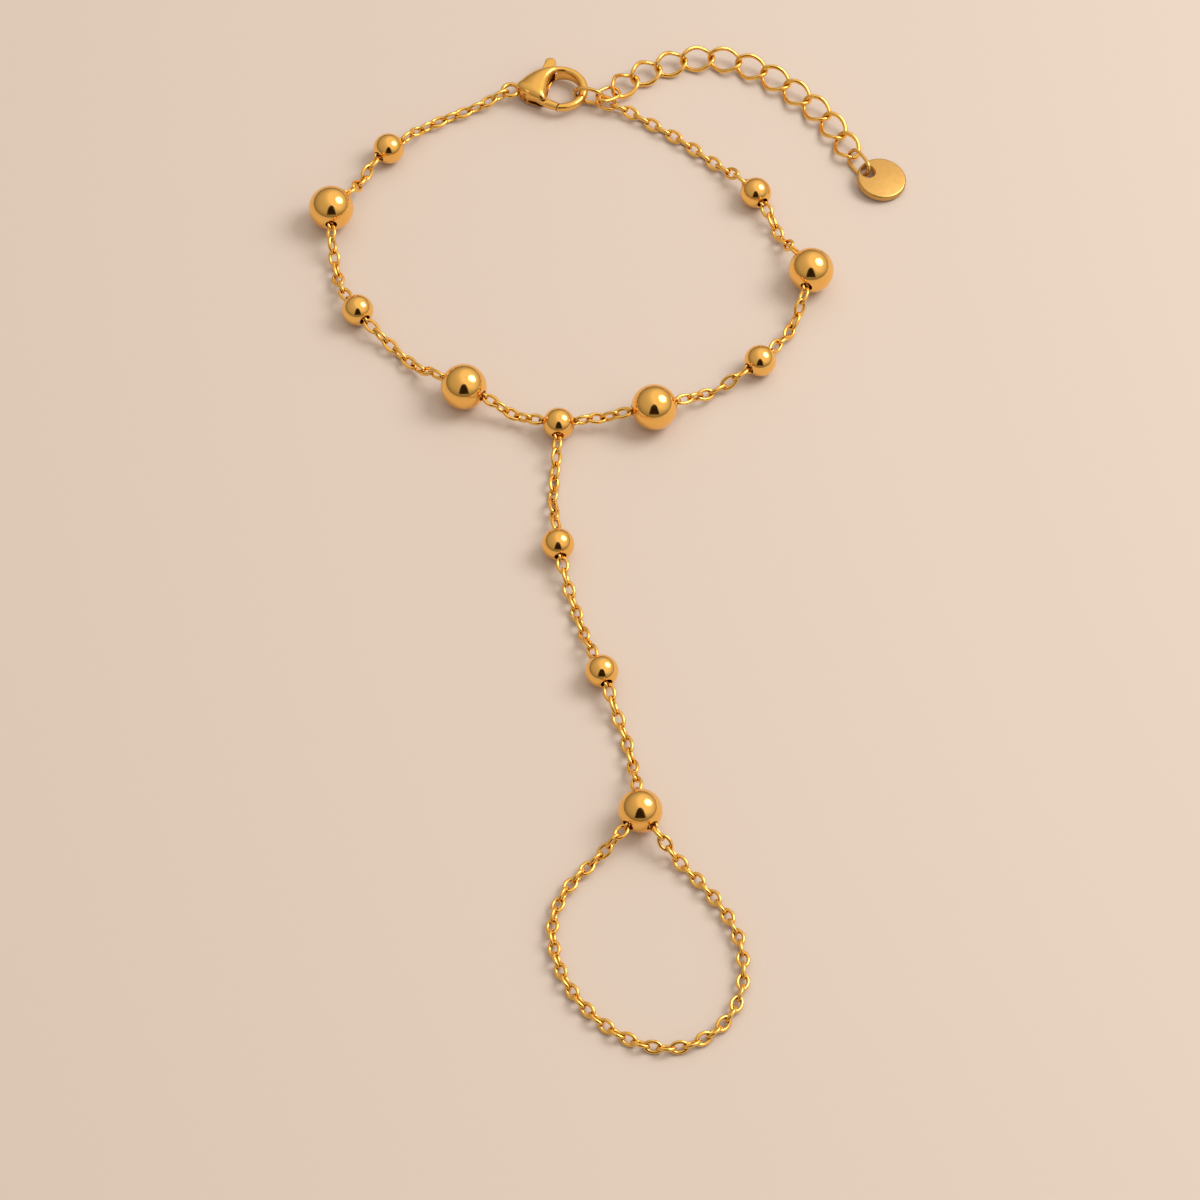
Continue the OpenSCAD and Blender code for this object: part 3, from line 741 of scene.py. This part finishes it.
def plate(outline, thickness, name, rounding=0.0):
    bm = bmesh.new()
    corners = [bm.verts.new((x * HOOK_R, y * HOOK_R, -thickness / 2)) for x, y in outline]
    moved = bmesh.ops.extrude_face_region(bm, geom=[bm.faces.new(corners)])["geom"]
    bmesh.ops.translate(bm, verts=[v for v in moved if isinstance(v, bmesh.types.BMVert)],
                        vec=(0, 0, thickness))
    bmesh.ops.recalc_face_normals(bm, faces=bm.faces)
    if rounding:
        round_edges(bm, rounding)
    return to_mesh(bm, name, 30)


# %% [markdown]
# The slot for the lever is sawn through the drop from both edges, and the eye is a small ring of
# round wire cast onto the drop's end.

# %% Saw the slot and add the eye
SLOT = 1.3 * MM
SLOT_OUTLINE = ((-1.79, -1.2), (-0.43, -1.2), (-0.43, 0.36), (-0.18, 0.71), (-0.18, 1.6),
                (-1.79, 1.6))
EYE_R, EYE_WIRE_R = 0.95 * MM, 0.27 * MM
EYE_AT = -2.214

slot = plate(SLOT_OUTLINE, SLOT, "slot")
bm = bmesh.new()
bmesh.ops.create_circle(bm, segments=20, radius=EYE_WIRE_R, cap_ends=False)
bmesh.ops.rotate(bm, verts=bm.verts, cent=(0, 0, 0), matrix=Matrix.Rotation(pi / 2, 3, "X"))
bmesh.ops.translate(bm, verts=bm.verts, vec=(EYE_R, 0, 0))
bmesh.ops.spin(bm, geom=list(bm.verts) + list(bm.edges), cent=(0, 0, 0), axis=(0, 0, 1),
               angle=2 * pi, steps=56, use_merge=True)
bmesh.ops.translate(bm, verts=bm.verts, vec=(EYE_AT * HOOK_R, 0, 0))
eye = to_mesh(bm, "eye", 80)
whole = combine(form.copy(), [eye.copy()], "UNION")
mesh = combine(whole, [slot])
keep_shine(mesh, form, 35)
mesh.transform(Matrix.Translation(clasp_o))
to_piece(mesh, "clasp_drop", "clasp_body", clasp_gold)

# %% [markdown]
# ## The lever and its rivet
#
# The lever is a flat plate on a rivet between the two cheeks. One end is the gate that closes the
# hook, a tapered bar. The other is a thumb tab that stands proud of the drop's edge.

# %% Make the lever's plate, boss and tab
LEVER_T = 0.88 * MM
LEVER_EDGE, TAB_EDGE = 0.08 * MM, 0.2 * MM
LEVER = ((-1.6, -0.28), (-1.46, -0.44), (-1.1, -0.58), (-0.68, -0.9), (-0.6, -0.62),
         (-0.66, -0.3), (-0.62, 0.3), (-0.48, 0.66), (-0.26, 0.96), (-0.24, 1.5),
         (-0.72, 1.5), (-0.9, 1.0), (-1.2, 0.5), (-1.6, -0.1))
BOSS, TAB = (-1.43, -0.26, 0.19), (-0.475, 1.55, 0.25)  # middle and radius


def disc(x, y, radius, name, rounding):
    bm = bmesh.new()
    bmesh.ops.create_cone(bm, cap_ends=True, segments=40, radius1=radius * HOOK_R,
                          radius2=radius * HOOK_R, depth=LEVER_T)
    round_edges(bm, rounding)
    bmesh.ops.translate(bm, verts=bm.verts, vec=(x * HOOK_R, y * HOOK_R, 0))
    return to_mesh(bm, name, 30)


lever = plate(LEVER, LEVER_T, "lever_plate", LEVER_EDGE)
boss = disc(*BOSS, "lever_boss", LEVER_EDGE)
tab = disc(*TAB, "lever_tab", TAB_EDGE)
print("lever plate", len(lever.polygons), "faces")

# %% [markdown]
# The gate is a round bar that tapers to the hook's tip and stops just short of it. Its end is cut
# square to the tip, so that the joint between the two reads as one fine line.

# %% Add the gate and join the lever
GATE_START, GATE_END = (-0.62, -0.76), (0.1, -1.08)
GATE_THICK, GATE_THIN = 0.205, 0.165
TIP_GAP = 0.12 * MM

start, stop = Vector((*GATE_START, 0)) * HOOK_R, Vector((*GATE_END, 0)) * HOOK_R
bm = bmesh.new()
bmesh.ops.create_cone(bm, cap_ends=True, segments=40, radius1=GATE_THICK * HOOK_R,
                      radius2=GATE_THIN * HOOK_R, depth=(stop - start).length)
way = (stop - start).normalized()
turn = Vector((0, 0, 1)).rotation_difference(way).to_matrix()
bmesh.ops.rotate(bm, verts=bm.verts, cent=(0, 0, 0), matrix=turn)
bmesh.ops.translate(bm, verts=bm.verts, vec=(start + stop) / 2)
tip_outer, tip_inner = Vector((*TIP_OUTER, 0)), Vector((*TIP_INNER, 0))
across = (tip_inner - tip_outer).normalized()
tip_normal = Vector((across.y, -across.x, 0))
tip_mid = (tip_outer + tip_inner) / 2 * HOOK_R
bmesh.ops.bisect_plane(bm, geom=list(bm.verts) + list(bm.edges) + list(bm.faces),
                       plane_co=tip_mid - tip_normal * TIP_GAP, plane_no=tip_normal,
                       clear_outer=True)
bmesh.ops.holes_fill(bm, edges=[e for e in bm.edges if e.is_boundary], sides=0)
gate = to_mesh(bm, "gate", 30)
mesh = combine(lever, [boss, tab, gate], "UNION")
smooth_shade(mesh, 30)
mesh.transform(Matrix.Translation(clasp_o))
print("lever", len(mesh.polygons), "faces")
to_piece(mesh, "lever", "clasp_lever", clasp_gold, body="clasp_lever")

# %% [markdown]
# ## What stays as the CAD made it
#
# The pins through the balls and the rivet in the clasp are hidden but for a glint in a bore. They
# keep their CAD shapes and take the plain wire finish.

# %% Finish the hidden metal
hidden = [name for name in nodes if name.startswith("pin_") or name == "clasp_rivet"]
for name in hidden:
    for place in nodes[name].material_slots:
        place.material = pin_gold
print("hidden pieces", len(hidden))

# %% [markdown]
# ## Floor, light and camera
#
# The bracelet lies on a plain pale surface. A polished ball shows everything round it, so the
# light is also what it reflects: a bright round softbox high on the right, a dim warm room, and a
# dark card on the camera's side that gives each ball its dark accent.

# %% Lay the floor
FLOOR_SIZE = 0.6
CREAM = (0.69, 0.615, 0.575)


def matt(name, colour, roughness):
    paint = bpy.data.materials.new(name)
    paint.use_nodes = True
    shader = paint.node_tree.nodes["Principled BSDF"]
    shader.inputs["Base Color"].default_value = (*colour, 1)
    shader.inputs["Roughness"].default_value = roughness
    return paint, shader


bm = bmesh.new()
bmesh.ops.create_grid(bm, x_segments=1, y_segments=1, size=FLOOR_SIZE)
floor = as_object(bpy.data.meshes.new("floor"))
bm.to_mesh(floor.data)
bm.free()
floor.location.z = cad_box[0][2]
floor.data.materials.append(matt("cream_surface", CREAM, 0.6)[0])
print("floor at", floor.location.z)

# %% [markdown]
# The softbox is a round area light. It is large beside the bracelet, so the shadows have soft
# edges, and it shows as the bright round spot on every ball.

# %% Hang the softbox
KEY_WAY = Vector((0.61, 0.23, 0.75)).normalized()
KEY_DISTANCE, KEY_SIZE = 0.60, 0.35
KEY_POWER, KEY_COLOUR = 1.85, (1.0, 0.95, 0.88)

key_light = bpy.data.lights.new("key", "AREA")
key_light.shape = "DISK"
key_light.size = KEY_SIZE
key_light.energy = KEY_POWER
key_light.color = KEY_COLOUR
key = bpy.data.objects.new("key", key_light)
key.location = KEY_WAY * KEY_DISTANCE
key.rotation_euler = KEY_WAY.to_track_quat("Z", "Y").to_euler()
bpy.context.scene.collection.objects.link(key)
print("softbox at", key.location)

# %% [markdown]
# The room is darker than the floor and glows a little round the softbox. World colour is taken
# from the direction alone, so it is the same for every view. One ramp gives the glow by how near
# a direction is to the softbox, the other dims it towards the horizon.

# %% Let the room glow
ROOM_GLOW = ((0.0, 0.56), (0.40, 0.63), (0.70, 0.92), (0.86, 1.9), (0.95, 5.5))
ROOM_RISE = ((0.0, 0.30), (0.12, 0.50), (0.36, 0.80), (0.66, 1.0))
ROOM_TINT = (1.0, 0.87, 0.72)

world = bpy.data.worlds.new("studio")
world.use_nodes = True
tree = world.node_tree
sky = tree.nodes["Background"]
sky.inputs["Strength"].default_value = 1.0
way = add(tree, "ShaderNodeTexCoord").outputs["Generated"]
dot = add(tree, "ShaderNodeVectorMath", operation="DOT_PRODUCT")
dot.inputs[1].default_value = KEY_WAY
tree.links.new(way, dot.inputs[0])


def ramp(value, stops):
    node = add(tree, "ShaderNodeValToRGB")
    node.color_ramp.interpolation = "B_SPLINE"
    elements = node.color_ramp.elements
    for place, _ in stops[2:]:
        elements.new(place)
    for element, (place, level) in zip(elements, stops):
        element.position = place
        element.color = (level, level, level, 1)
    tree.links.new(value, node.inputs["Fac"])
    return node.outputs["Color"]


height = add(tree, "ShaderNodeSeparateXYZ")
tree.links.new(way, height.inputs[0])
glow = ramp(dot.outputs["Value"], ROOM_GLOW)
rise = ramp(height.outputs["Z"], ROOM_RISE)
tint = add(tree, "ShaderNodeCombineColor")
level = math_node(tree, "MULTIPLY", glow, rise)
for socket, share in zip(tint.inputs, ROOM_TINT):
    tree.links.new(math_node(tree, "MULTIPLY", level, share), socket)
tree.links.new(tint.outputs[0], sky.inputs["Color"])
bpy.context.scene.world = world
print("room glow with", len(tree.nodes), "nodes")

# %% [markdown]
# A dark card stands on the camera's side. Its outline is given by where a ball shows it, as shares
# of the ball's radius: wide at the foot and rounded at the top. Only reflections see it.

# %% Stand the card up
VIEW_TILT = radians(35)  # the photograph's view, from straight down
CARD_DISTANCE = 0.42
CARD_SPOTS = ((-0.23, 0.32), (0.0, 0.33), (0.23, 0.32), (0.19, 0.15), (0.14, 0.0), (0.07, -0.1),
              (0.0, -0.12), (-0.07, -0.1), (-0.14, 0.0), (-0.19, 0.15))


def seen_at(across, down):
    """Point that a polished ball shows at this share of its radius from its centre."""
    normal = Vector((across, -down, sqrt(1 - across * across - down * down)))
    way = 2 * normal.z * normal - Vector((0, 0, 1))
    return Matrix.Rotation(VIEW_TILT, 3, "X") @ way * CARD_DISTANCE


bm = bmesh.new()
bm.faces.new([bm.verts.new(seen_at(*spot)) for spot in CARD_SPOTS])
card = as_object(bpy.data.meshes.new("dark_card"))
bm.to_mesh(card.data)
bm.free()
for ray in ("visible_camera", "visible_diffuse", "visible_shadow"):
    setattr(card, ray, False)
paint, shader = matt("dark_card", (0.03, 0.02, 0.01), 0.9)
shader.inputs["Specular IOR Level"].default_value = 0.0
card.data.materials.append(paint)
print("card of", len(CARD_SPOTS), "corners")

# %% [markdown]
# ## The camera
#
# A long lens from half a metre away looks down at 35 degrees from the vertical, so the far side of
# the wrist loop is hardly smaller than the near side of the finger loop.

# %% Set the camera up
LENS, SENSOR = 135, 36  # millimetres, as on a lens barrel
CAMERA_PLACE = Vector((-1.052, -304.79, 418.59)) * MM

camera_data = bpy.data.cameras.new("camera")
camera_data.lens = LENS
camera_data.sensor_width = SENSOR
camera_data.clip_start = 0.01
camera_data.clip_end = 10
camera = bpy.data.objects.new("camera", camera_data)
camera.location = CAMERA_PLACE
camera.rotation_euler = (VIEW_TILT, 0, 0)
bpy.context.scene.collection.objects.link(camera)
bpy.context.scene.camera = camera
print("camera at", camera.location)

# %% [markdown]
# The plain view transform keeps the gold as saturated as its own colour.

# %% Set the view transform
bpy.context.scene.view_settings.view_transform = "Standard"
